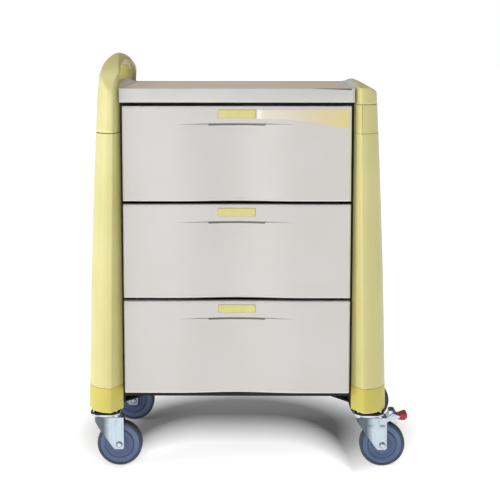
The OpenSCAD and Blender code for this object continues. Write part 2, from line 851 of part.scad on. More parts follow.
base_pan();
wall_left();
wall_right();
back_panel();
top_deck();
corner_frames();
column_front_left();
column_front_right();
column_rear_left();
column_rear_right();
bumpers();
handle();
end_cap();
shelf_trim();
side_panels();
worktop();
work_surface();
caster_plates();
caster_bolts();
runner_outers();
shelf_runners();
drawer_front(1);  // drawer_front_1
drawer_front(2);  // drawer_front_2
drawer_front(3);  // drawer_front_3
drawer_box(1);  // drawer_box_1
drawer_box(2);  // drawer_box_2
drawer_box(3);  // drawer_box_3
label(1);  // label_1
label(2);  // label_2
label(3);  // label_3
runner_inner(1);  // runner_inner_1
runner_inner(2);  // runner_inner_2
runner_inner(3);  // runner_inner_3
runner_middle(1);  // runner_middle_1
runner_middle(2);  // runner_middle_2
runner_middle(3);  // runner_middle_3
shelf_board();
shelf_end();
fork(true, false);  // fork_front_left
fork(true, true);  // fork_front_right
fork(false, false);  // fork_rear_left
fork(false, true);  // fork_rear_right
axle(true, false);  // axle_front_left
axle(true, true);  // axle_front_right
axle(false, false);  // axle_rear_left
axle(false, true);  // axle_rear_right
guards(true, false);  // guards_front_left
guards(true, true);  // guards_front_right
guards(false, false);  // guards_rear_left
guards(false, true);  // guards_rear_right
core(true, false);  // core_front_left
core(true, true);  // core_front_right
core(false, false);  // core_rear_left
core(false, true);  // core_rear_right
wheel_tyre(true, false);  // tyre_front_left
wheel_tyre(true, true);  // tyre_front_right
wheel_tyre(false, false);  // tyre_rear_left
wheel_tyre(false, true);  // tyre_rear_right
brake_lever();
brake_pad();
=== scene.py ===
import math

import bmesh
import bpy
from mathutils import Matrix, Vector


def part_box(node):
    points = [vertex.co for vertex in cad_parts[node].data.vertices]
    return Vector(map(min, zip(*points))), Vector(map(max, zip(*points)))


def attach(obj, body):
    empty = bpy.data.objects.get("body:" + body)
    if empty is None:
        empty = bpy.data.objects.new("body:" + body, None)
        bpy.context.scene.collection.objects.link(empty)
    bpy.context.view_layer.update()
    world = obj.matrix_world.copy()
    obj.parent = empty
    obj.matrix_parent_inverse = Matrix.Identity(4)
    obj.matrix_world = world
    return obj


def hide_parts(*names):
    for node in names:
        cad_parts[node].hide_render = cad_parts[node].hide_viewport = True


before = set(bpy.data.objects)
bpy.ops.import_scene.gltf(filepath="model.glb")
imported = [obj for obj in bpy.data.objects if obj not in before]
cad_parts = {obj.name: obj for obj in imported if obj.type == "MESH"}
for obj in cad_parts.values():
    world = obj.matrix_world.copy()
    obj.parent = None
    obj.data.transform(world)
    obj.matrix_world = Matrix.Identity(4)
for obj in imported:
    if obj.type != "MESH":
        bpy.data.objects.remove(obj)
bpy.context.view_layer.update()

corners = ["front_left", "front_right", "rear_left", "rear_right"]
drawers = [1, 2, 3]
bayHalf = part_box("wall_right")[0].x
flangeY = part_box("wall_right")[1].y
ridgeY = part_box("bumpers")[1].y - 0.0003
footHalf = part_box("bumpers")[1].x
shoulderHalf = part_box("end_cap")[1].x
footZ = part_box("bumpers")[0].z
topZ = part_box("worktop")[0].z
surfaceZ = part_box("work_surface")[1].z
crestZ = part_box("end_cap")[1].z
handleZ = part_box("handle")[1].z


def mix(low, high, share):
    return low + (high - low) * share


def smooth(low, high, value):  # 0 before low, 1 after high, smooth between
    share = min(1, max(0, (value - low) / (high - low)))
    return share * share * (3 - 2 * share)


def turns(*angles):  # degrees to radians
    return [math.radians(angle) for angle in angles]


def colour(red, green, blue):  # display values from 0 to 255
    linear = []
    for value in (red / 255, green / 255, blue / 255):
        linear.append(value / 12.92 if value <= 0.04045 else ((value + 0.055) / 1.055) ** 2.4)
    return (*linear, 1)


def makePiece(name, points, faces, material, body, slotName, replaced=(), sharp=35):
    return dressPiece(loose(name, points, faces, True), material, body, replaced, sharp)


def dressPiece(obj, material, body, replaced=(), sharp=35):
    obj.data.materials.clear()
    obj.data.materials.append(material)
    obj.data.shade_smooth()
    obj.data.set_sharp_from_angle(angle=math.radians(sharp))
    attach(obj, body)
    if replaced:
        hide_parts(*replaced)
    return obj


def addBevel(obj, width, segments=3, angle=50):
    bevel = obj.modifiers.new("Bevel", "BEVEL")
    bevel.width = width
    bevel.segments = segments
    bevel.limit_method = "ANGLE"
    bevel.angle_limit = math.radians(angle)
    return obj


def weighNormals(obj):  # large faces decide the shading, so thin steps leave no streaks
    weigh = obj.modifiers.new("WeightedNormal", "WEIGHTED_NORMAL")
    weigh.keep_sharp = True
    weigh.weight = 90
    return obj


def bake(obj):  # replaces the mesh with what its modifiers make of it
    graph = bpy.context.evaluated_depsgraph_get()
    graph.update()
    result = bpy.data.meshes.new_from_object(obj.evaluated_get(graph))
    obj.modifiers.clear()
    obj.data = result
    return obj


def loose(name, points, faces, weld=False):  # a plain object, with no finish or body yet
    mesh = bpy.data.meshes.new(name)
    mesh.from_pydata([tuple(p) for p in points], [], faces)
    shape = bmesh.new()
    shape.from_mesh(mesh)
    if weld:
        bmesh.ops.remove_doubles(shape, verts=shape.verts, dist=1e-5)
        bmesh.ops.dissolve_degenerate(shape, edges=shape.edges, dist=1e-6)
    bmesh.ops.recalc_face_normals(shape, faces=shape.faces)
    shape.to_mesh(mesh)
    shape.free()
    obj = bpy.data.objects.new(name, mesh)
    bpy.context.scene.collection.objects.link(obj)
    return obj


def combine(obj, other, operation):  # boolean, then the other solid is thrown away
    boolean = obj.modifiers.new("Boolean", "BOOLEAN")
    boolean.operation = operation
    boolean.solver = "EXACT"
    boolean.object = other
    bake(obj)
    bpy.data.objects.remove(other)
    return obj


def stackRings(rings):  # closed solid through rings with the same number of points
    count = len(rings[0])
    points = [p for ring in rings for p in ring]
    faces = [list(range(count))[::-1]]
    for level in range(len(rings) - 1):
        for i in range(count):
            j = (i + 1) % count
            low, high = level * count, (level + 1) * count
            faces.append([low + i, low + j, high + j, high + i])
    last = (len(rings) - 1) * count
    faces.append([last + i for i in range(count)])
    return points, faces


def shell(outer, inner):  # closed sheet between two grids of points, outer[level][i] and inner[level][i]
    levels, count = len(outer), len(outer[0])
    points = [p for row in outer for p in row] + [p for row in inner for p in row]
    offset = levels * count
    faces = []
    for level in range(levels - 1):
        for i in range(count - 1):
            a, b = level * count + i, level * count + i + 1
            c, d = b + count, a + count
            faces += [[a, b, c, d], [offset + a, offset + d, offset + c, offset + b]]
        for i in (0, count - 1):
            a, b = level * count + i, (level + 1) * count + i
            faces.append([a, b, offset + b, offset + a])
    for level in (0, levels - 1):
        for i in range(count - 1):
            a, b = level * count + i, level * count + i + 1
            faces.append([a, b, offset + b, offset + a])
    return points, faces


def lathe(profile, centre, steps=96):  # profile is (radius, place along Y), turned about Y
    points, faces = [], []
    count = len(profile)
    for step in range(steps):
        angle = 2 * math.pi * step / steps
        for radius, along in profile:
            points.append(Vector((centre.x + radius * math.cos(angle), centre.y + along,
                                  centre.z + radius * math.sin(angle))))
    for step in range(steps):
        a, b = step * count, ((step + 1) % steps) * count
        for i in range(count):
            j = (i + 1) % count
            faces.append([a + i, a + j, b + j, b + i])
    return points, faces


def mirrored(points, sideX, sideY=1):
    return [(p[0] * sideX, p[1] * sideY, p[2]) for p in points]


def startMaterial(name):
    material = bpy.data.materials.new(name)
    material.use_nodes = True
    tree = material.node_tree
    place = tree.nodes.new("ShaderNodeTexCoord").outputs["Object"]
    return material, tree, tree.nodes["Principled BSDF"], place


def addNoise(tree, place, scale, detail=2.0, stretch=None):
    if stretch:
        mapping = tree.nodes.new("ShaderNodeMapping")
        mapping.inputs["Scale"].default_value = stretch
        tree.links.new(place, mapping.inputs["Vector"])
        place = mapping.outputs["Vector"]
    noise = tree.nodes.new("ShaderNodeTexNoise")
    noise.inputs["Scale"].default_value = scale
    noise.inputs["Detail"].default_value = detail
    tree.links.new(place, noise.inputs["Vector"])
    return noise.outputs["Fac"]


def remap(tree, value, low, high, toLow, toHigh):
    node = tree.nodes.new("ShaderNodeMapRange")
    for socket, number in zip(("From Min", "From Max", "To Min", "To Max"), (low, high, toLow, toHigh)):
        node.inputs[socket].default_value = number
    tree.links.new(value, node.inputs["Value"])
    return node.outputs["Result"]


def blendColours(tree, share, first, second):
    node = tree.nodes.new("ShaderNodeMix")
    node.data_type = "RGBA"
    tree.links.new(share, node.inputs[0])
    for index, value in ((6, first), (7, second)):
        if isinstance(value, tuple):
            node.inputs[index].default_value = value
        else:
            tree.links.new(value, node.inputs[index])
    return node.outputs[2]


def calculate(tree, operation, first, second):
    node = tree.nodes.new("ShaderNodeMath")
    node.operation = operation
    tree.links.new(first, node.inputs[0])
    if isinstance(second, (int, float)):
        node.inputs[1].default_value = second
    else:
        tree.links.new(second, node.inputs[1])
    return node.outputs[0]


def distance(tree, place, centre):
    node = tree.nodes.new("ShaderNodeVectorMath")
    node.operation = "DISTANCE"
    node.inputs[1].default_value = centre
    tree.links.new(place, node.inputs[0])
    return node.outputs["Value"]


def axis(tree, place, letter):  # one part of a point, X, Y or Z
    split = tree.nodes.new("ShaderNodeSeparateXYZ")
    tree.links.new(place, split.inputs["Vector"])
    return split.outputs[letter]


def addBump(tree, shader, height, depth):
    bump = tree.nodes.new("ShaderNodeBump")
    bump.inputs["Strength"].default_value = 1
    bump.inputs["Distance"].default_value = depth
    tree.links.new(height, bump.inputs["Height"])
    tree.links.new(bump.outputs["Normal"], shader.inputs["Normal"])


def edgeShare(tree, low=0.52, high=0.58):  # 1 on outside edges
    geometry = tree.nodes.new("ShaderNodeNewGeometry")
    return remap(tree, geometry.outputs["Pointiness"], low, high, 0, 1)


def plastic(name, look):
    material, tree, shader, place = startMaterial(name)
    clouds = addNoise(tree, place, look.get("clouds", 5), 3)
    base = blendColours(tree, remap(tree, clouds, 0.35, 0.65, 0, 1), look["colour"], look["shade"])
    if "edge" in look:  # outside edges turn paler in patches
        least, most = look.get("rub", (0, 0.5))
        patches = remap(tree, addNoise(tree, place, 60, 4), 0.45, 0.65, least, most)
        rub = calculate(tree, "MULTIPLY", edgeShare(tree), patches)
        base = blendColours(tree, rub, base, look["edge"])
    tree.links.new(base, shader.inputs["Base Color"])
    smudges = addNoise(tree, place, look.get("smudges", 22), 4)
    low, high = look.get("rough", (0.36, 0.5))
    tree.links.new(remap(tree, smudges, 0.3, 0.7, low, high), shader.inputs["Roughness"])
    grain = addNoise(tree, place, look.get("grain", 1400), 3)
    addBump(tree, shader, grain, look.get("grainDepth", 0.00004))
    shader.inputs["Specular IOR Level"].default_value = look.get("specular", 0.5)
    shader.inputs["Coat Weight"].default_value = look.get("coat", 0)
    shader.inputs["Coat Roughness"].default_value = 0.25
    return material


def metal(name, look):
    material, tree, shader, place = startMaterial(name)
    stains = addNoise(tree, place, look.get("stains", 35), 5)
    base = blendColours(tree, remap(tree, stains, 0.3, 0.7, 0, 1), look["colour"], look["shade"])
    if "fade" in look:  # painted shade: the pressing turns away from the light on this side, so the colour blends to the dark one there
        lit = remap(tree, axis(tree, place, "X"), *look["fade"], 0, 1)
        base = blendColours(tree, lit, look["dark"], base)
    tree.links.new(base, shader.inputs["Base Color"])
    lines = addNoise(tree, place, look.get("lines", 500), 3, look.get("stretch", (1, 1, 0.08)))
    low, high = look.get("rough", (0.22, 0.42))
    tree.links.new(remap(tree, lines, 0.3, 0.7, low, high), shader.inputs["Roughness"])
    addBump(tree, shader, lines, look.get("lineDepth", 0.00002))
    shader.inputs["Metallic"].default_value = 1
    return material


def rubber(name, look):
    material, tree, shader, place = startMaterial(name)
    dust = remap(tree, addNoise(tree, place, 45, 5), 0.4, 0.75, 0, look.get("dust", 0.35))
    base = blendColours(tree, dust, look["colour"], look["dustColour"])
    tree.links.new(base, shader.inputs["Base Color"])
    gloss = remap(tree, addNoise(tree, place, 80, 3), 0.3, 0.7, 0.5, 0.72)
    tree.links.new(gloss, shader.inputs["Roughness"])
    addBump(tree, shader, addNoise(tree, place, 900, 4), 0.00006)
    return material


columnYellow = plastic("columnYellow", {"colour": colour(229, 222, 154), "shade": colour(223, 214, 143),
                                        "edge": colour(238, 234, 184), "rough": (0.36, 0.46), "coat": 0.15})
bumperYellow = plastic("bumperYellow", {"colour": colour(222, 211, 104), "shade": colour(214, 202, 92),
                                        "edge": colour(232, 224, 140), "rough": (0.42, 0.55)})
frontGrey = plastic("frontGrey", {"colour": colour(219, 216, 212), "shade": colour(216, 212, 207),
                                  "rough": (0.29, 0.31), "smudges": 6, "grain": 1800,
                                  "grainDepth": 0.00002, "coat": 0.2})
# painted highlight: paler, glossier copy of the front finish, used on the rounded edges
frontEdge = plastic("frontEdge", {"colour": colour(250, 250, 252), "shade": colour(244, 243, 246),
                                  "rough": (0.2, 0.28), "coat": 0.6})
worktopGrey = plastic("worktopGrey", {"colour": colour(224, 223, 219), "shade": colour(217, 214, 209),
                                      "rough": (0.42, 0.5), "specular": 0.35})
surfaceTaupe = plastic("surfaceTaupe", {"colour": colour(228, 211, 198), "shade": colour(221, 204, 191),
                                        "rough": (0.6, 0.72), "grain": 700, "grainDepth": 0.00008,
                                        "specular": 0.12})
panelGrey = plastic("panelGrey", {"colour": colour(214, 212, 206), "shade": colour(211, 209, 203),
                                  "rough": (0.42, 0.47), "grain": 500, "grainDepth": 0.00003})
shelfGrey = plastic("shelfGrey", {"colour": colour(210, 206, 200), "shade": colour(202, 198, 190),
                                  "rough": (0.35, 0.5)})
trayGrey = plastic("trayGrey", {"colour": colour(205, 204, 200), "shade": colour(198, 196, 191),
                                "rough": (0.3, 0.45), "grain": 450, "grainDepth": 0.00003})
blackPaint = plastic("blackPaint", {"colour": colour(22, 21, 26), "shade": colour(30, 29, 34),
                                    "rough": (0.32, 0.48), "grain": 420, "grainDepth": 0.00005,
                                    "specular": 0.2})
labelYellow = plastic("labelYellow", {"colour": colour(230, 221, 142), "shade": colour(224, 214, 130),
                                      "rough": (0.25, 0.35), "grain": 2500, "grainDepth": 0.00001,
                                      "coat": 0.3})
# painted shade: darker colour for the rim round each label, standing for the shadow in the label's recess
labelShadeRim = plastic("labelShadeRim", {"colour": colour(196, 182, 140), "shade": colour(188, 174, 132)})
wheelBlue = plastic("wheelBlue", {"colour": colour(96, 116, 156), "shade": colour(88, 107, 147),
                                  "rough": (0.35, 0.5), "clouds": 30})
guardBlue = plastic("guardBlue", {"colour": colour(82, 99, 137), "shade": colour(75, 91, 128),
                                  "rough": (0.35, 0.5), "clouds": 30})
pedalRed = plastic("pedalRed", {"colour": colour(190, 50, 66), "shade": colour(176, 42, 56),
                                "rough": (0.35, 0.5), "grain": 900, "clouds": 40})
zinc = metal("zinc", {"colour": colour(214, 218, 224), "shade": colour(190, 196, 206)})
# painted shade: each fork's finish darkens towards the left of its cheek, where the pressing turns from the
# light
forkZinc = {}
headRadius = 0.0074  # the bolt's head starts this far left of the axle's middle
for side in ("left", "right"):
    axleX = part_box("axle_front_" + side)[0].x + headRadius
    forkZinc[side] = metal("forkZinc" + side.capitalize(),
                           {"colour": colour(190, 203, 212), "shade": colour(172, 187, 199), "stains": 18,
                            "dark": colour(92, 102, 110), "fade": (axleX - 0.044, axleX - 0.026),
                            "lines": 160, "lineDepth": 0.000006, "rough": (0.26, 0.32)})
darkSteel = metal("darkSteel", {"colour": colour(104, 108, 116), "shade": colour(84, 88, 96),
                                "rough": (0.3, 0.4)})
runnerSteel = metal("runnerSteel", {"colour": colour(196, 200, 206), "shade": colour(176, 180, 188),
                                    "stretch": (1, 0.05, 1)})
tyreGrey = rubber("tyreGrey", {"colour": colour(62, 72, 82), "dustColour": colour(100, 108, 116)})
print("finishes made")


# corner mouldings: plan curves of the front right corner, mirrored for the other three
mould = {"wall": 0.0035, "bow": 0.004, "reach": 0.086, "innerTop": 0.0058, "innerFoot": 0.0048,
         "ridgeTop": 0.019, "ridgeFoot": 0.034, "ridgeRound": 0.003, "insetRound": 0.001,
         "backY": 0.157, "backTurn": 0.006, "backWide": 0.030, "middleY": -0.215,
         "footRound": 0.0035, "bevel": 0.0009}


def heightShare(z):
    return (z - footZ) / (topZ - footZ)


def outerX(z):
    share = heightShare(z)
    return mix(footHalf, shoulderHalf, share) + 4 * mould["bow"] * share * (1 - share)


def innerX(z):
    return bayHalf + mix(mould["innerFoot"], mould["innerTop"], heightShare(z))


def ridgeX(z):
    return bayHalf + mix(mould["ridgeFoot"], mould["ridgeTop"], heightShare(z))


def cornerCurve(z, inset=0.0, steps=22):  # plan of a front right corner, from its inner edge to its side
    inner, ridge, outer = innerX(z), ridgeX(z), outerX(z)
    proud = ridgeY - flangeY
    slant = Vector((ridge - inner, -proud, 0)).normalized()
    normal = Vector((slant.y, -slant.x, 0))  # out of the inner chamfer, towards the drawers
    tip = Vector((ridge, -ridgeY, 0)) - normal * inset + Vector((0, inset, 0))
    rounding = mould["ridgeRound"] if inset == 0 else mould["insetRound"]
    curve = [Vector((inner, -flangeY, 0)) - normal * inset * 1.02]
    for share in (0.25, 0.5, 0.75):
        curve.append(curve[0].lerp(tip - slant * rounding, share))
    start = tip - slant * rounding
    end = tip + Vector((rounding, 0, 0))
    for share in (0, 0.25, 0.5, 0.75, 1):  # rounded ridge
        curve.append(start.lerp(tip, share).lerp(tip.lerp(end, share), share))
    reach, across = mould["reach"] - inset, outer - inset - end.x
    for step in range(1, steps + 1):
        angle = math.pi / 2 * (1 - step / steps)
        curve.append(Vector((end.x + across * math.cos(angle),
                             -ridgeY + inset + reach * (1 - math.sin(angle)), 0)))
    return [Vector((p.x, p.y, z)) for p in curve]


def columnCurve(z, inset=0.0, drawIn=0.0):  # adds the return face at the back of a column
    curve = cornerCurve(z, inset)
    outer, back = outerX(z) - inset, -mould["backY"] - inset
    turn = mould["backTurn"]
    for a in turns(0, 30, 60, 90):
        curve.append(Vector((outer - turn + turn * math.cos(a), back - turn + turn * math.sin(a), z)))
    curve.append(Vector((outer - mould["backWide"], back, z)))
    if drawIn:
        middle = Vector((mix(innerX(z), outer, 0.5), mould["middleY"], z))
        curve = [p + (middle - p).normalized() * drawIn for p in curve]
    return curve


def makeColumn(name, side, forward, low, high, material, slotName, replaced, roundFoot=0.0):
    levels = []  # (height, how far the plan is drawn in)
    if roundFoot:
        for a in turns(0, 20, 40, 60, 80):
            levels.append((low + roundFoot * (1 - math.cos(a)), roundFoot * (1 - math.sin(a))))
    start = low + roundFoot
    steps = 14 if high - start > 0.2 else 4
    levels += [(mix(start, high, i / steps), 0) for i in range(steps + 1)]
    outer = [columnCurve(z, 0, drawIn) for z, drawIn in levels]
    inner = [columnCurve(z, mould["wall"], drawIn) for z, drawIn in levels]
    points, faces = shell(outer, inner)
    obj = makePiece(name, mirrored(points, side, forward), faces, material, "cabinet", slotName, replaced)
    return addBevel(obj, mould["bevel"], 3, 55)


def titled(corner):  # front_left gives FrontLeft
    return "".join(word.capitalize() for word in corner.split("_"))


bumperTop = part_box("bumpers")[1].z
columnLow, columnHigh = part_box("column_front_right")[0].z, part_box("column_front_right")[1].z
for corner in corners:
    side = 1 if "right" in corner else -1
    forward = 1 if "front" in corner else -1
    makeColumn("column" + titled(corner), side, forward, columnLow, columnHigh, columnYellow,
               "column_yellow", ["column_" + corner])
    makeColumn("bumper" + titled(corner), side, forward, footZ, bumperTop, bumperYellow,
               "bumper_yellow", ["bumpers"] if corner == "front_left" else (), mould["footRound"])
print("columns and bumpers made")


# handle and end cap: full-depth end mouldings, cut from the same plan curve
handle = {"low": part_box("handle")[0].z, "springZ": surfaceZ - 0.016, "gripHalf": 0.180,
          "gripLow": crestZ + 0.003, "gripHigh": handleZ - 0.035, "voxel": 0.0024, "softening": 14,
          "lipY": 0.2548, "lipGap": 0.0002, "rim": 0.024, "capVoxel": 0.0022, "capSoftening": 7,
          "roomNear": 0.2, "cutNear": 0.25, "cutFar": 0.45, "cutHalf": 0.4, "crownHalf": 0.32}
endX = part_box("end_cap")[0].x
legX = innerX(topZ) + handle["lipGap"]


def endRing(z):  # plan of a full-depth end moulding
    half = cornerCurve(z)
    return half + [Vector((p.x, -p.y, z)) for p in reversed(half)]


def planSolid(levels):
    return loose("plan", *stackRings([endRing(z) for z in levels]))


def sideSolid(outline, low, high):  # outline in Y and Z, pulled along X
    return loose("side", *stackRings([[Vector((x, y, z)) for y, z in outline] for x in (low, high)]))


def frontSolid(outline, low, high):  # outline in X and Z, pulled along Y
    return loose("front", *stackRings([[Vector((x, y, z)) for x, z in outline] for y in (low, high)]))


def sideCut(outline):  # wide enough for either end moulding
    return sideSolid(outline, handle["cutNear"], handle["cutFar"])


def frontCut(outline):
    return frontSolid(outline, -handle["cutHalf"], handle["cutHalf"])


def soften(obj, voxel, repeats):  # rounds every edge
    remesh = obj.modifiers.new("Remesh", "REMESH")
    remesh.mode = "VOXEL"
    remesh.voxel_size = voxel
    bake(obj)
    relax = obj.modifiers.new("Smooth", "SMOOTH")
    relax.factor = 0.5
    relax.iterations = repeats
    return bake(obj)


def archRoom():  # under the handle's inner rim, where the worktop's raised lip runs
    wide, spring = handle["lipY"], surfaceZ + 0.014
    rise = handleZ - handle["rim"] - spring
    outline = [(-wide, topZ), (wide, topZ)]
    for step in range(33):
        angle = math.pi * step / 32
        outline.append((wide * math.cos(angle), spring + rise * math.sin(angle)))
    return sideSolid(outline, handle["roomNear"], endX)


def capRoom(low):  # the cap keeps a short leg in front of the lip, and none above it behind
    wide, high, back = handle["lipY"], crestZ + 0.02, handle["cutHalf"]
    shoulder = surfaceZ - 0.004
    outline = [(-wide, low), (wide, low), (wide, shoulder), (back, shoulder), (back, high),
               (-wide, high)]
    return sideSolid(outline, handle["roomNear"], endX)


def makeHandle():
    low, spring = handle["low"], handle["springZ"]
    rise = handleZ - spring
    body = planSolid([low, spring, handleZ + 0.002])
    wide = ridgeY + 0.01
    arch = [(-wide, low - 0.001), (wide, low - 0.001), (wide, spring)]
    for step in range(49):
        angle = math.pi * step / 48
        arch.append(((ridgeY - 0.0003) * math.cos(angle), spring + rise * math.sin(angle)))
    arch.append((-wide, spring))
    combine(body, sideCut(arch), "INTERSECT")
    edge = outerX(spring)
    inner = innerX(low) - 0.01
    profile = [(inner, low - 0.001), (edge + 0.02, low - 0.001), (edge + 0.02, topZ),
               (edge - 0.001, spring), (edge - 0.005, surfaceZ), (edge - 0.010, surfaceZ + 0.04),
               (edge - 0.014, surfaceZ + 0.065), (edge - 0.020, handleZ - 0.014),
               (edge - 0.028, handleZ - 0.002), (edge - 0.036, handleZ + 0.001),
               (endX + 0.004, handleZ - 0.006), (endX - 0.003, handleZ - 0.014),
               (legX + 0.004, handleZ - 0.034), (legX, surfaceZ + 0.045), (legX, topZ), (inner, topZ)]
    combine(body, frontCut(profile), "INTERSECT")
    combine(body, archRoom(), "DIFFERENCE")
    half, base, top = handle["gripHalf"], handle["gripLow"], handle["gripHigh"]
    hole = [(-half + 0.012, base), (half - 0.012, base), (half - 0.003, base + 0.004)]
    for step in range(1, 24):
        angle = math.pi * step / 24
        hole.append((half * math.cos(angle), base + (top - base) * math.sin(angle) ** 0.45))
    hole.append((-half + 0.003, base + 0.004))
    combine(body, sideCut(hole), "DIFFERENCE")
    soften(body, handle["voxel"], handle["softening"])
    for vertex in body.data.vertices:
        vertex.co.x *= -1
    body.data.flip_normals()
    body.name = "pushHandle"
    return dressPiece(body, columnYellow, "cabinet", ["handle"], 80)


def makeEndCap():
    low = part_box("end_cap")[0].z
    edge = outerX(low)
    body = planSolid([low, crestZ + 0.004])
    profile = [(legX, low - 0.001), (edge + 0.02, low - 0.001), (edge + 0.001, low + 0.002),
               (edge - 0.001, surfaceZ - 0.017), (edge - 0.004, surfaceZ - 0.010),
               (edge - 0.012, surfaceZ - 0.003), (edge - 0.028, surfaceZ + 0.006),
               (endX + 0.012, surfaceZ + 0.013), (endX + 0.004, crestZ), (legX, crestZ)]
    combine(body, frontCut(profile), "INTERSECT")
    combine(body, capRoom(low - 0.01), "DIFFERENCE")
    rise = crestZ - surfaceZ - 0.003
    half = handle["crownHalf"]
    crown = [(-half, low - 0.01), (half, low - 0.01)]
    for step in range(25):
        y = mix(half, -half, step / 24)
        crown.append((y, crestZ - rise * (y / ridgeY) ** 2))
    combine(body, sideCut(crown), "INTERSECT")
    soften(body, handle["capVoxel"], handle["capSoftening"])
    body.name = "endCap"
    return dressPiece(body, columnYellow, "cabinet", ["end_cap"], 80)


makeHandle()
makeEndCap()
print("handle and end cap made")


# side shelf: the pull-out end and the fixed trim beside it
shelf = {"low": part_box("shelf_end")[0].z, "high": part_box("shelf_end")[1].z,
         "splitX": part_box("shelf_trim")[1].x, "gap": 0.0008}


def makeShelfEnd():
    levels = [mix(shelf["low"], shelf["high"], i / 6) for i in range(7)]
    outer, inner = [], []
    for z in levels:
        for rows, inset in ((outer, 0.0), (inner, mould["wall"])):
            curve = cornerCurve(z, inset, 40)[9:]
            start = shelf["splitX"] + shelf["gap"]
            half = [p for p in curve if p.x > start]
            half = [Vector((start, half[0].y, z))] + half[len(half) - 36:]
            rows.append(half + [Vector((p.x, -p.y, z)) for p in reversed(half)])
    points, faces = shell(outer, inner)
    obj = makePiece("shelfEnd", points, faces, columnYellow, "side_shelf", "column_yellow", ["shelf_end"])
    addBevel(obj, mould["bevel"], 3, 55)
    low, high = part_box("shelf_board")[0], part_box("shelf_board")[1]
    outerFace = outerX(high.z) - mould["wall"] + 0.0005
    block = [[Vector((x, y, z)) for x, y in ((high.x, low.y + 0.01), (outerFace, low.y + 0.02),
                                             (outerFace, high.y - 0.02), (high.x, high.y - 0.01))]
             for z in (low.z - 0.004, high.z)]
    bracket = makePiece("shelfBracket", *stackRings(block), columnYellow, "side_shelf", "column_yellow")
    addBevel(bracket, 0.0015)


def makeShelfTrim():
    levels = [mix(shelf["low"], shelf["high"], i / 6) for i in range(7)]
    for name, forward in (("shelfTrimFront", 1), ("shelfTrimRear", -1)):
        outer, inner = [], []
        for z in levels:
            for rows, inset in ((outer, 0.0), (inner, mould["wall"])):
                curve = cornerCurve(z, inset, 40)[:9]
                rows.append(curve + [Vector((shelf["splitX"], curve[-1].y + 0.0002, z))])
        points, faces = shell(outer, inner)
        obj = makePiece(name, mirrored(points, 1, forward), faces, columnYellow, "cabinet", "column_yellow",
                        ["shelf_trim"] if forward == 1 else ())
        addBevel(obj, 0.0007, 2, 55)


makeShelfEnd()
makeShelfTrim()
print("side shelf made")


worktop = {"lipWide": 0.024, "seamX": 0.017, "seam": 0.0006, "lipRise": 0.013, "sheetDrop": 0.002,
           "shadowGap": 0.0012, "slotStart": 0.193, "slotHigh": 0.0034, "overlap": 0.0003,
           "cornerTurn": 0.006,
           "corner": (innerX(topZ) - 0.0008, 0.2545)}
topLow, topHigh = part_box("worktop")
topLow = Vector((topLow.x, topLow.y, topLow.z + worktop["shadowGap"]))
sheetLow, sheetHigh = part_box("work_surface")


def lipHeight(x, y):  # how far the end lips curl up above the flat
    outer = topHigh.x
    share = (abs(x) - (outer - worktop["lipWide"])) / worktop["lipWide"]
    if share <= 0:
        return 0
    crown = 0.1 + 0.9 * (1 - (y / topHigh.y) ** 2)
    fall = 0.0012 * smooth(0.93, 1, share)
    return worktop["lipRise"] * crown * share ** 1.7 - fall


def slab(name, low, high, material, slotName):
    corner = worktop["corner"]
    turned = corner[1] - worktop["cornerTurn"]
    spots = [topLow.y, -corner[1], -turned] + [mix(-0.22, 0.22, i / 32) for i in range(33)]
    spots += [turned, corner[1], topHigh.y]
    rings = []
    for y in spots:
        clip = corner[0] if abs(y) >= corner[1] else topHigh.x
        left, right = max(low, -clip), min(high, clip)
        ring = [Vector((left, y, topLow.z)), Vector((right, y, topLow.z))]
        for i in range(11):
            x = mix(right, left, i / 10)
            ring.append(Vector((x, y, surfaceZ + lipHeight(x, y))))
        rings.append(ring)
    obj = makePiece(name, *stackRings(rings), material, "cabinet", slotName, (), 30)
    return addBevel(obj, 0.0022, 4, 48)


def makeWorktop():
    seamX = topHigh.x - worktop["seamX"]
    half = seamX - worktop["seam"] / 2
    recess = surfaceZ - worktop["sheetDrop"]
    slotX = worktop["slotStart"]
    overlap = worktop["overlap"]
    frontY, sheetY = topLow.y, sheetLow.y - overlap
    stations = [-half, sheetLow.x - overlap, sheetLow.x + 0.01, 0, slotX]
    stations += [mix(slotX, sheetHigh.x, i / 8) for i in range(1, 9)]
    stations += [sheetHigh.x + overlap, half]
    rings = []
    for x in stations:
        inSheet = sheetLow.x - 0.0002 < x < sheetHigh.x + 0.0002
        floor = recess if inSheet else surfaceZ
        drop = worktop["slotHigh"] * min(1, max(0, (x - slotX) / (sheetHigh.x - slotX))) if inSheet else 0
        top = surfaceZ - drop
        rings.append([Vector((x, frontY, topLow.z)), Vector((x, frontY, top - 0.002)),
                      Vector((x, frontY + 0.0006, top - 0.0006)), Vector((x, frontY + 0.002, top)),
                      Vector((x, sheetY, top)), Vector((x, sheetY, min(floor, top))),
                      Vector((x, -sheetY, floor)), Vector((x, -sheetY, surfaceZ)),
                      Vector((x, -frontY - 0.002, surfaceZ)), Vector((x, -frontY, surfaceZ - 0.002)),
                      Vector((x, -frontY, topLow.z))])
    makePiece("worktopBody", *stackRings(rings), worktopGrey, "cabinet", "worktop_grey", ["worktop"], 30)
    wedge = []  # painted shadow: a dark wedge stands for the shade where the moulding's front edge falls away
    shadowFront, shadowBack = frontY + 0.0024, sheetY + 0.001
    for i in range(1, 10):
        x = mix(slotX, sheetHigh.x, i / 9)
        low, high = surfaceZ - worktop["slotHigh"] * i / 9 - 0.0004, surfaceZ - 0.0002
        wedge.append([Vector((x, shadowFront, low)), Vector((x, shadowBack, low)), Vector((x, shadowBack, high)),
                      Vector((x, shadowFront, high))])
    makePiece("worktopSeal", *stackRings(wedge), tyreGrey, "cabinet", "tyre")
    seamEdge = seamX + worktop["seam"] / 2
    slab("worktopLipRight", seamEdge, topHigh.x, worktopGrey, "worktop_grey")
    slab("worktopLipLeft", -topHigh.x, -seamEdge, worktopGrey, "worktop_grey")


makeWorktop()
print("worktop made")


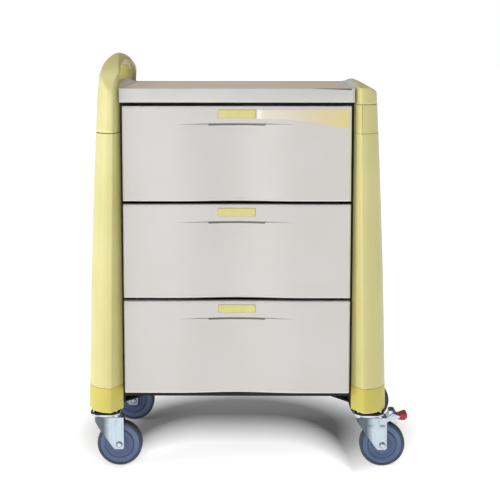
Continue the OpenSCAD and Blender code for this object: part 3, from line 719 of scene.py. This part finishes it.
front = {"scoopHalf": 0.177, "deepLow": 0.0115, "deepUp": 0.005, "lipDrop": 0.0445, "lipSag": 0.006,
         "edge": 0.0045, "slotHalf": 0.077, "slotHigh": 0.0060, "slotDeep": 0.011, "slotUp": 0.014,
         "lipThick": 0.0042, "bow": 1.15, "guard": 0.0012, "tail": 0.42, "glint": 0.0034,
         "trimTop": 0.0020, "trimFoot": 0.0008, "labelTrim": 0.002}


def scoopShare(x):
    u = min(1, abs(x) / front["scoopHalf"])
    return (0.5 + 0.5 * math.cos(math.pi * u)) ** front["bow"]


def frontSection(x, low, high, thick):  # (depth, z) points from the back of the bottom edge up and over
    share = scoopShare(x)
    up, down = share * front["deepUp"], share * front["deepLow"]
    lip = high - front["lipDrop"] - front["lipSag"] * min(1, (x / front["scoopHalf"]) ** 2)
    core = 1 - smooth(front["slotHalf"] - 0.0015, front["slotHalf"] + 0.0015, abs(x))
    fade = 1 - smooth(front["slotHalf"], front["scoopHalf"] * 0.97, abs(x))
    slot = max(core, front["tail"] * fade)
    gap = slot * front["slotHigh"]
    edge, soft = front["edge"], 0.0012
    path = [(thick, low)]
    for a in turns(0, 22.5, 45, 67.5, 90):
        path.append((down + edge * (1 - math.sin(a)), low + edge * (1 - math.cos(a))))
    start = low + edge + front["guard"]
    path += [(down, mix(start, lip - gap - soft * slot, i / 9)) for i in range(10)]
    for a in turns(30, 60, 90):
        path.append((down + soft * slot * (1 - math.cos(a)), lip - gap - soft * slot * (1 - math.sin(a))))
    back = down + slot * front["slotDeep"]
    path += [(mix(down + soft * slot, back, 0.5), lip - gap), (back, lip - gap)]
    roof = lip + slot * front["slotUp"]
    path += [(back, mix(lip - gap, roof, 0.5)), (back, roof)]
    under = mix(down, up + front["lipThick"], slot)
    path += [(under, roof), (under, lip + soft * 0.5 * slot)]
    curl = min(soft, (under - up) * 0.4)
    for a in turns(0, 30, 60, 90):
        path.append((up + curl * (1 - math.sin(a)), lip + curl * (1 - math.cos(a))))
    end = high - edge - front["guard"]
    path += [(up, mix(lip + curl, end, i / 7)) for i in range(1, 8)] + [(up, high - edge)]
    for a in turns(22.5, 45, 67.5, 90):
        path.append((up + edge * (1 - math.cos(a)), high - edge * (1 - math.sin(a))))
    path.append((thick, high))
    return path


def frontStations(half):
    edge, slot = front["edge"], front["slotHalf"]
    stations = [(slot * i / 8, 0) for i in range(8)]
    stations += [(slot + d, 0) for d in (-0.0015, -0.0005, 0.0005, 0.0015)]
    stations += [(mix(slot + 0.004, front["scoopHalf"], i / 16), 0) for i in range(17)]
    stations += [(mix(front["scoopHalf"], half - edge - front["guard"], i / 6), 0) for i in range(1, 7)]
    stations.append((half - edge, 0))
    for a in turns(22.5, 45, 67.5, 90):
        stations.append((half - edge + edge * math.sin(a), edge * (1 - math.cos(a))))
    return [(-x, back) for x, back in reversed(stations[1:])] + stations


def makeFront(number):
    low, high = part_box(f"drawer_front_{number}")
    low.z += front["trimFoot"]
    high.z -= front["trimTop"]
    thick = high.y - low.y
    rings = []
    for x, back in frontStations(high.x):
        section = frontSection(x, low.z, high.z, thick)
        rings.append([Vector((x, low.y + min(depth + back, thick), z)) for depth, z in section])
    obj = makePiece(f"drawerFront{number}", *stackRings(rings), frontGrey, f"drawer_{number}", "front_grey",
                    [f"drawer_front_{number}"], 40)
    obj.data.materials.append(frontEdge)  # painted highlight: the rounded top and side edges get a paler, glossier copy of the finish
    for face in obj.data.polygons:
        spot = face.center
        side = min(spot.x - low.x, high.x - spot.x)
        if (high.z - spot.z < front["glint"] or side < front["glint"] * 0.6) and spot.y < low.y + 0.006:
            face.material_index = 1
    weighNormals(obj)


def curvedPlate(name, number, box, grow, proud, material, slotName, replaced=()):  # thin sheet on the scoop
    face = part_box(f"drawer_front_{number}")[0].y
    low, high = box
    outer, inner = [], []
    for i in range(25):
        x = mix(low.x - grow, high.x + grow, i / 24)
        depth = face + scoopShare(x) * front["deepUp"]
        rows = [mix(low.z - grow, high.z + grow, k / 4) for k in range(5)]
        outer.append([Vector((x, depth - proud, z)) for z in rows])
        inner.append([Vector((x, depth + 0.0006, z)) for z in rows])
    points, faces = shell(outer, inner)
    obj = makePiece(name, points, faces, material, f"drawer_{number}", slotName, replaced, 30)
    return addBevel(obj, proud * 0.8, 2, 50)


def makeLabel(number):
    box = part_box(f"label_{number}")
    box[0].z += front["labelTrim"]
    # painted shade: a darker sheet just larger than the label stands for the shadow in its recess
    curvedPlate(f"labelShadeSheet{number}", number, box, 0.0009, 0.0005, labelShadeRim, "front_grey")
    curvedPlate(f"labelPlate{number}", number, box, -0.0004, 0.0012, labelYellow, "label_yellow",
                [f"label_{number}"])


for number in drawers:
    makeFront(number)
    makeLabel(number)
print("drawer fronts and labels made")


band = {"startX": 0.054, "stubEnd": 0.065, "endX": 0.300, "topDrop": 0.012, "leftLow": 0.035,
        "rightLow": 0.060, "proud": 0.00035}


def bandMaterial():
    material, tree, shader, place = startMaterial("bandYellow")
    ramp = tree.nodes.new("ShaderNodeValToRGB")
    span = remap(tree, axis(tree, place, "X"), band["startX"], band["endX"], 0, 1)
    tree.links.new(span, ramp.inputs["Fac"])
    stops = [(0.0, colour(255, 252, 236)), (0.045, colour(255, 250, 232)), (0.06, colour(238, 230, 214)),
             (0.45, colour(232, 219, 196)), (0.75, colour(230, 215, 168)), (1.0, colour(229, 217, 150))]
    ramp.color_ramp.elements[0].position, ramp.color_ramp.elements[0].color = stops[0]
    ramp.color_ramp.elements[1].position, ramp.color_ramp.elements[1].color = stops[-1]
    for position, tint in stops[1:-1]:
        ramp.color_ramp.elements.new(position).color = tint
    tree.links.new(ramp.outputs["Color"], shader.inputs["Base Color"])
    gloss = remap(tree, addNoise(tree, place, 30, 3), 0.3, 0.7, 0.3, 0.32)
    tree.links.new(gloss, shader.inputs["Roughness"])
    return material


def makeBand():
    low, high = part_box("drawer_front_1")
    outer, inner = [], []
    steps = 40
    for step in range(steps + 1):
        share = step / steps
        x = mix(band["startX"], band["endX"], share)
        bottom = high.z - mix(band["leftLow"], band["rightLow"], smooth(0, 1, share) * share)
        if x < band["stubEnd"]:
            bottom = high.z - band["leftLow"]
        top = high.z - band["topDrop"]
        rows = [mix(bottom, top, i / 5) for i in range(6)]
        face = low.y + scoopShare(x) * front["deepUp"]
        outer.append([Vector((x, face - band["proud"], z)) for z in rows])
        inner.append([Vector((x, face + 0.0002, z)) for z in rows])
    points, faces = shell(outer, inner)
    makePiece("topDrawerBand", points, faces, bandMaterial(), "drawer_1", "label_yellow", (), 30)


makeBand()
print("band made")


wheel = {"rim": 0.054, "guard": 0.0385, "shoulder": 0.0052}
bothFaces = (("Front", -1), ("Rear", 1))


def makeWheel(corner):
    low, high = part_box("tyre_" + corner)
    centre = (low + high) / 2
    body = "wheel_" + corner
    word = titled(corner)
    radius, half, rim = centre.z, (high.y - low.y) / 2, wheel["rim"]
    side = [(rim, half - 0.0012), (rim + 0.0008, half - 0.0004), (rim + 0.002, half)]
    shoulder = wheel["shoulder"]
    for a in turns(*range(90, -1, -15)):
        side.append((radius - shoulder + shoulder * math.cos(a), half - shoulder + shoulder * math.sin(a)))
    profile = side + [(r, -y) for r, y in reversed(side)]
    makePiece("tyre" + word, *lathe(profile, centre, 120), tyreGrey, body, "tyre", ["tyre_" + corner], 40)
    guard = wheel["guard"]
    face = [(rim + 0.0002, half - 0.0016), (rim - 0.0006, half - 0.0008), (guard + 0.0028, half - 0.0010),
            (guard + 0.0018, half - 0.0018), (guard + 0.0015, half - 0.004), (guard - 0.003, half - 0.004),
            (0.018, half - 0.006), (0.0075, half - 0.004)]
    profile = face + [(r, -y) for r, y in reversed(face)]
    makePiece("wheelCentre" + word, *lathe(profile, centre, 120), wheelBlue, body, "wheel_blue",
              ["core_" + corner], 40)
    # painted shade: a dark ring of tyre rubber lines each groove, so the groove shows as a shaded line
    for name, sign in bothFaces:
        seam = [(guard - 0.001, half - 0.0042), (guard - 0.001, half - 0.0026),
                (guard + 0.0030, half - 0.0026), (guard + 0.0030, half - 0.0042)]
        profile = [(r, y * sign) for r, y in seam]
        makePiece(f"grooveShadeRing{name}{word}", *lathe(profile, centre, 96), tyreGrey, body, "tyre")
    disc = [(guard + 0.0004, half - 0.004), (guard + 0.0004, half - 0.0012),
            (guard - 0.0004, half - 0.0003), (guard - 0.0020, half + 0.0003),
            (guard - 0.0075, half + 0.0007), (guard - 0.0085, half + 0.0002),
            (guard - 0.0150, half + 0.0004), (guard - 0.0165, half + 0.0012),
            (0.0120, half + 0.0018), (0.0095, half + 0.0022), (0.0070, half + 0.0022),
            (0.0070, half - 0.004)]
    for name, sign in bothFaces:
        profile = [(r, y * sign) for r, y in disc]
        makePiece(f"coverDisc{name}{word}", *lathe(profile, centre, 120), guardBlue, body, "guard_blue",
                  ["guards_" + corner] if sign == -1 else (), 40)


swage = {"low": 0.056, "high": 0.124, "left": -0.046, "right": 0.009, "cheek": 0.023, "proud": 0.0017,
         "band": 0.0013, "valley": (-0.0195, -0.0150), "slant": (-0.018, 0.0535, -0.071, 0.127),
         "inset": 0.003}


def swageHeight(x):  # a raised strip over the axle and a softer band beside it, with a crease between
    left, right = swage["valley"]
    low, high = swage["left"], swage["right"]
    strip = swage["proud"] * smooth(right, right + 0.002, x) * (1 - smooth(high - 0.002, high, x))
    softer = swage["band"] * smooth(low, low + 0.006, x) * (1 - smooth(left - 0.004, left, x))
    return max(strip, softer) - 0.0002


def makeSwages(corner):  # pressed strips on both cheeks of a fork
    low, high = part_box("tyre_" + corner)
    centre = (low + high) / 2
    word = titled(corner)
    x0, z0, x1, z1 = swage["slant"]
    for name, sign in bothFaces:
        outer, inner = [], []
        for step in range(25):
            z = mix(swage["low"], swage["high"], step / 24)
            edge = mix(x0, x1, (z - z0) / (z1 - z0)) + swage["inset"]
            ends = smooth(0, 0.06, step / 24) * (1 - smooth(0.8, 1, step / 24))
            start = max(edge, swage["left"])
            rowOut, rowIn = [], []
            for i in range(45):
                x = mix(start, swage["right"], i / 44)
                border = smooth(0, 0.0025, x - start)
                lift = (swageHeight(x) + 0.0002) * ends * border - 0.0002
                y = centre.y + sign * (swage["cheek"] + lift)
                rowOut.append(Vector((centre.x + x, y, z)))
                rowIn.append(Vector((centre.x + x, centre.y + sign * (swage["cheek"] - 0.0008), z)))
            outer.append(rowOut)
            inner.append(rowIn)
        makePiece(f"forkSwage{name}{word}", *shell(outer, inner), forkZinc[corner.split("_")[1]],
                  "caster_" + corner, "zinc", (), 40)


def makeBoltHead(corner):  # domed head in a dark seat, on both cheeks
    low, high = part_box("tyre_" + corner)
    centre = (low + high) / 2
    cheek = swage["cheek"]
    seat = [(0.0004, cheek - 0.0006), (0.0086, cheek - 0.0006), (0.0086, cheek + 0.0022),
            (0.0078, cheek + 0.0026), (0.0004, cheek + 0.0026)]
    head = [(0.0004, cheek + 0.002), (0.0062, cheek + 0.002), (0.0062, cheek + 0.0066),
            (0.0056, cheek + 0.0074), (0.0030, cheek + 0.0080), (0.0004, cheek + 0.0082)]
    for name, sign in bothFaces:
        for kind, outline, finish in (("boltSeat", seat, darkSteel), ("boltHead", head, zinc)):
            profile = [(r, y * sign) for r, y in outline]
            makePiece(f"{kind}{name}{titled(corner)}", *lathe(profile, centre, 40), finish,
                      "caster_" + corner, "zinc")


for corner in corners:
    makeBoltHead(corner)
    makeWheel(corner)
    makeSwages(corner)
print("wheels made")


def keep(names, material, bevel=0.0, segments=2):
    for name in names:
        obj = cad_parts[name]
        obj.data.materials.clear()
        obj.data.materials.append(material)
        if bevel:
            addBevel(obj, bevel, segments, 40)


keep(["base_pan", "wall_left", "wall_right", "top_deck", "corner_frames"], blackPaint, 0.0004)
keep(["back_panel", "side_panels"], panelGrey, 0.0004)
keep(["work_surface"], surfaceTaupe, 0.0003)
keep(["shelf_board"], shelfGrey, 0.0012, 3)
keep([f"drawer_box_{n}" for n in drawers], trayGrey, 0.0005)
keep(["runner_outers", "shelf_runners"], runnerSteel, 0.0003)
keep([f"runner_inner_{n}" for n in drawers] + [f"runner_middle_{n}" for n in drawers], runnerSteel, 0.0003)
keep(["caster_plates", "caster_bolts", "brake_lever"], zinc, 0.0006)
keep(["axle_" + c for c in corners], zinc, 0.0009, 3)
for corner in corners:
    keep(["fork_" + corner], forkZinc[corner.split("_")[1]], 0.0009, 3)
print("frame's own pieces finished")


pedal = {"outline": ((0, 0.30), (0.12, 0.10), (0.45, 0.0), (0.8, 0.05), (1.0, 0.32), (1.0, 0.74),
                     (0.86, 0.90), (0.55, 0.80), (0.2, 0.60), (0.02, 0.50)),
         "roll": ((-0.0150, 0.0040), (-0.0130, 0.0145), (-0.0065, 0.0185), (0.0025, 0.0165),
                  (0.0100, 0.0040), (0.0145, -0.0050), (0.0110, -0.0085), (0.0030, -0.0050),
                  (-0.0070, -0.0030)),
         "rollX": 0.4335, "rollZ": 0.1440, "rollHalf": 0.0135}


def makePedal():  # rounded pad and the rolled end of its lever
    low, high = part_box("brake_pad")
    outline = [(mix(low.x, high.x, u), mix(low.z, high.z, v)) for u, v in pedal["outline"]]
    pad = frontSolid(outline, low.y, high.y)
    soften(pad, 0.0013, 8)
    pad.name = "brakePad"
    dressPiece(pad, pedalRed, "brake", ["brake_pad"], 80)
    outline = [(pedal["rollX"] + x, pedal["rollZ"] + z) for x, z in pedal["roll"]]
    middle = (low.y + high.y) / 2
    roll = frontSolid(outline, middle - pedal["rollHalf"], middle + pedal["rollHalf"])
    soften(roll, 0.0012, 6)
    roll.name = "brakeRoll"
    dressPiece(roll, darkSteel, "brake", (), 80)


makePedal()
print("brake made")


stage = {"radius": 40, "paper": (colour(246, 246, 247), colour(250, 250, 251)), "behind": 0.12,
         "near": (0.30, 0.57), "ahead": (0.26, -0.02), "bend": 30.0, "far": (1.2, 5.0),
         "glow": (0.05, 0.82, 1.0), "worn": colour(180, 180, 182)}


def paperMaterial():  # glows up to white away from the cart; near and behind the cart the glow drops and the colour darkens, a painted shadow
    material, tree, shader, place = startMaterial("floorPaper")
    tint = blendColours(tree, addNoise(tree, place, 1.5, 2), *stage["paper"])
    shader.inputs["Roughness"].default_value = 0.85
    shader.inputs["Specular IOR Level"].default_value = 0.1
    low, middle, high = stage["glow"]
    across = axis(tree, place, "X")
    square = calculate(tree, "MULTIPLY", across, across)
    bend = calculate(tree, "MULTIPLY", calculate(tree, "MULTIPLY", square, square), stage["bend"])
    bowed = calculate(tree, "ADD", axis(tree, place, "Y"), bend)
    ahead = remap(tree, bowed, *stage["ahead"], 0, 1)
    around = remap(tree, distance(tree, place, (0, stage["behind"], 0)), *stage["near"], 0, 1)
    share = calculate(tree, "MAXIMUM", ahead, around)
    nearGlow = remap(tree, share, 0, 1, low, middle)
    farGlow = remap(tree, distance(tree, place, (0, 0, 0)), *stage["far"], 0, high - middle)
    # painted shadow: where share is low the floor takes the darker tint and glows less, in a patch shaped
    # like the cart's shadow
    tree.links.new(blendColours(tree, share, stage["worn"], tint), shader.inputs["Base Color"])
    shader.inputs["Emission Color"].default_value = (1, 1, 1, 1)
    tree.links.new(calculate(tree, "ADD", nearGlow, farGlow), shader.inputs["Emission Strength"])
    return material


def makeStage():  # wide round floor
    steps = 96
    points = [(0, 0, 0)] + [(stage["radius"] * math.cos(2 * math.pi * k / steps),
                             stage["radius"] * math.sin(2 * math.pi * k / steps), 0) for k in range(steps)]
    faces = [[0, 1 + k, 1 + (k + 1) % steps] for k in range(steps)]
    mesh = bpy.data.meshes.new("floor")
    mesh.from_pydata(points, [], faces)
    floor = bpy.data.objects.new("floor", mesh)
    bpy.context.scene.collection.objects.link(floor)
    mesh.materials.append(paperMaterial())


lamps = {"keySoftbox": {"place": (-3.3, -1.4, 1.5), "aim": (0, 0, 0.6), "size": (1.3, 2.4),
                        "power": 30, "tint": (1.0, 0.995, 0.98)},
         "stripSoftbox": {"place": (-0.85, -3.5, 0.9), "aim": (0, -0.28, 0.6), "size": (0.5, 2.2),
                          "power": 10.5, "tint": (1, 1, 1)},
         "frontSoftbox": {"place": (-0.35, -2.9, 3.2), "aim": (0, 0, 0.5), "size": (1.6, 1.2),
                          "power": 11, "tint": (1, 1, 1)},
         "handleSoftbox": {"place": (-2.1, -0.5, 2.8), "aim": (-0.35, 0, 1.05), "size": (0.9, 0.9),
                           "power": 12, "tint": (1, 1, 0.99)},
         "topSoftbox": {"place": (0, 0.2, 3.4), "aim": (0, 0, 0.7), "size": (2.6, 2.0),
                        "power": 25, "tint": (1, 1, 1)}}


def addLight(name, lamp):
    data = bpy.data.lights.new(name, "AREA")
    data.shape = "RECTANGLE"
    data.size, data.size_y = lamp["size"]
    data.energy = lamp["power"]
    data.color = lamp["tint"]
    obj = bpy.data.objects.new(name, data)
    bpy.context.scene.collection.objects.link(obj)
    obj.location = lamp["place"]
    obj.rotation_euler = (Vector(lamp["aim"]) - Vector(lamp["place"])).to_track_quat("-Z", "Y").to_euler()


room = {"dim": (0.93, 0.95, 1.0, 1), "dimStrength": 0.15, "bright": (1, 1, 1, 1), "brightStrength": 1.0}


def makeRoom():  # dim as light on the cart, bright as what shows behind it
    world = bpy.data.worlds.new("studio")
    bpy.context.scene.world = world
    world.use_nodes = True
    tree = world.node_tree
    dim, bright = tree.nodes["Background"], tree.nodes.new("ShaderNodeBackground")
    for node, name in ((dim, "dim"), (bright, "bright")):
        node.inputs["Color"].default_value = room[name]
        node.inputs["Strength"].default_value = room[name + "Strength"]
    pick = tree.nodes.new("ShaderNodeMixShader")
    tree.links.new(tree.nodes.new("ShaderNodeLightPath").outputs["Is Camera Ray"], pick.inputs["Fac"])
    tree.links.new(dim.outputs["Background"], pick.inputs[1])
    tree.links.new(bright.outputs["Background"], pick.inputs[2])
    tree.links.new(pick.outputs["Shader"], tree.nodes["World Output"].inputs["Surface"])


makeStage()
for name, lamp in lamps.items():
    addLight(name, lamp)
makeRoom()
bpy.context.scene.view_settings.view_transform = "Standard"

camera = {"place": (0.0485, -3.7136, 1.1965), "tilt": 6.917, "turn": 0.555, "lens": 93.0,
          "sensor": 36, "shift": (0.015, -0.12)}
cameraData = bpy.data.cameras.new("camera")
cameraData.lens = camera["lens"]
cameraData.sensor_width = camera["sensor"]
cameraData.shift_x, cameraData.shift_y = camera["shift"]
cameraObject = bpy.data.objects.new("camera", cameraData)
bpy.context.scene.collection.objects.link(cameraObject)
cameraObject.location = camera["place"]
cameraObject.rotation_euler = (math.radians(90 - camera["tilt"]), 0, math.radians(camera["turn"]))
bpy.context.scene.camera = cameraObject
print("stage, lights and camera made")
